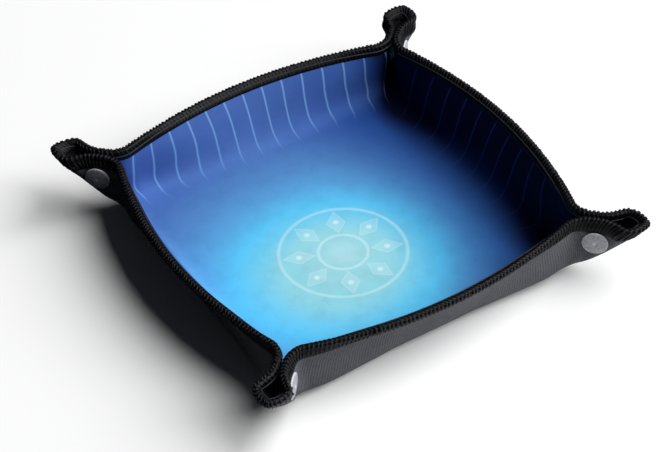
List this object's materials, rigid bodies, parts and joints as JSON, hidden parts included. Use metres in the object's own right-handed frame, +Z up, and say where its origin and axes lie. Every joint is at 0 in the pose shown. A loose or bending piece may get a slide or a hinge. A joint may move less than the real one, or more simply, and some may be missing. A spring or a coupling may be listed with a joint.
{
  "type": "dice tray",
  "caption": "Square fold-up dice tray of rubber-backed printed cloth with an overlocked rim and press-stud corners.",
  "frame": {"origin": "centre of the underside, on the surface the tray stands on", "axes": "+Z up out of the tray; +X and +Y square to two of its walls"},
  "size_m": [0.2104, 0.2104, 0.0358],
  "materials": {
    "rubber": "matt, with the fine rib of a knitted backing",
    "printed_cloth": "smooth printed cloth",
    "edging_thread": "overlocked thread",
    "snap_cap": "satin",
    "snap_inner": "satin"
  },
  "bodies": {
    "mat": {"rubber_mat": "rubber", "printed_cloth": "printed_cloth", "edging_right": "edging_thread", "edging_back": "edging_thread", "edging_left": "edging_thread", "edging_front": "edging_thread"},
    "stud_flap_back_right": {"rubber_flap_back_right_stud": "rubber", "cloth_flap_back_right_stud": "printed_cloth", "edging_flap_back_right_stud": "edging_thread", "cap_back_right_stud": "snap_cap", "stud_back_right": "snap_inner"},
    "socket_flap_back_right": {"rubber_flap_back_right_socket": "rubber", "cloth_flap_back_right_socket": "printed_cloth", "edging_flap_back_right_socket": "edging_thread", "cap_back_right_socket": "snap_cap", "socket_back_right": "snap_inner"},
    "stud_flap_back_left": {"rubber_flap_back_left_stud": "rubber", "cloth_flap_back_left_stud": "printed_cloth", "edging_flap_back_left_stud": "edging_thread", "cap_back_left_stud": "snap_cap", "stud_back_left": "snap_inner"},
    "socket_flap_back_left": {"rubber_flap_back_left_socket": "rubber", "cloth_flap_back_left_socket": "printed_cloth", "edging_flap_back_left_socket": "edging_thread", "cap_back_left_socket": "snap_cap", "socket_back_left": "snap_inner"},
    "stud_flap_front_left": {"rubber_flap_front_left_stud": "rubber", "cloth_flap_front_left_stud": "printed_cloth", "edging_flap_front_left_stud": "edging_thread", "cap_front_left_stud": "snap_cap", "stud_front_left": "snap_inner"},
    "socket_flap_front_left": {"rubber_flap_front_left_socket": "rubber", "cloth_flap_front_left_socket": "printed_cloth", "edging_flap_front_left_socket": "edging_thread", "cap_front_left_socket": "snap_cap", "socket_front_left": "snap_inner"},
    "stud_flap_front_right": {"rubber_flap_front_right_stud": "rubber", "cloth_flap_front_right_stud": "printed_cloth", "edging_flap_front_right_stud": "edging_thread", "cap_front_right_stud": "snap_cap", "stud_front_right": "snap_inner"},
    "socket_flap_front_right": {"rubber_flap_front_right_socket": "rubber", "cloth_flap_front_right_socket": "printed_cloth", "edging_flap_front_right_socket": "edging_thread", "cap_front_right_socket": "snap_cap", "socket_front_right": "snap_inner"}
  },
  "joints": [
    {"name": "ear_back_right", "type": "hinge", "parent": "mat", "child": "stud_flap_back_right", "pos_m": [0.08839, 0.08839, 0.0105], "axis": [0.5, 0.5, 0.7071], "range_deg": [0, 20]},
    {"name": "ear_back_right_other_flap", "type": "hinge", "parent": "mat", "child": "socket_flap_back_right", "pos_m": [0.08839, 0.08839, 0.0105], "axis": [-0.5, -0.5, -0.7071], "range_deg": [0, 20]},
    {"name": "ear_back_left", "type": "hinge", "parent": "mat", "child": "stud_flap_back_left", "pos_m": [-0.08839, 0.08839, 0.0105], "axis": [-0.5, 0.5, 0.7071], "range_deg": [0, 20]},
    {"name": "ear_back_left_other_flap", "type": "hinge", "parent": "mat", "child": "socket_flap_back_left", "pos_m": [-0.08839, 0.08839, 0.0105], "axis": [0.5, -0.5, -0.7071], "range_deg": [0, 20]},
    {"name": "ear_front_left", "type": "hinge", "parent": "mat", "child": "stud_flap_front_left", "pos_m": [-0.08839, -0.08839, 0.0105], "axis": [-0.5, -0.5, 0.7071], "range_deg": [0, 20]},
    {"name": "ear_front_left_other_flap", "type": "hinge", "parent": "mat", "child": "socket_flap_front_left", "pos_m": [-0.08839, -0.08839, 0.0105], "axis": [0.5, 0.5, -0.7071], "range_deg": [0, 20]},
    {"name": "ear_front_right", "type": "hinge", "parent": "mat", "child": "stud_flap_front_right", "pos_m": [0.08839, -0.08839, 0.0105], "axis": [0.5, -0.5, 0.7071], "range_deg": [0, 20]},
    {"name": "ear_front_right_other_flap", "type": "hinge", "parent": "mat", "child": "socket_flap_front_right", "pos_m": [0.08839, -0.08839, 0.0105], "axis": [-0.5, 0.5, -0.7071], "range_deg": [0, 20]}
  ],
  "couplings": [
    {"joint": "ear_back_right_other_flap", "follows": "ear_back_right", "ratio": 1},
    {"joint": "ear_back_left_other_flap", "follows": "ear_back_left", "ratio": 1},
    {"joint": "ear_front_left_other_flap", "follows": "ear_front_left", "ratio": 1},
    {"joint": "ear_front_right_other_flap", "follows": "ear_front_right", "ratio": 1}
  ]
}
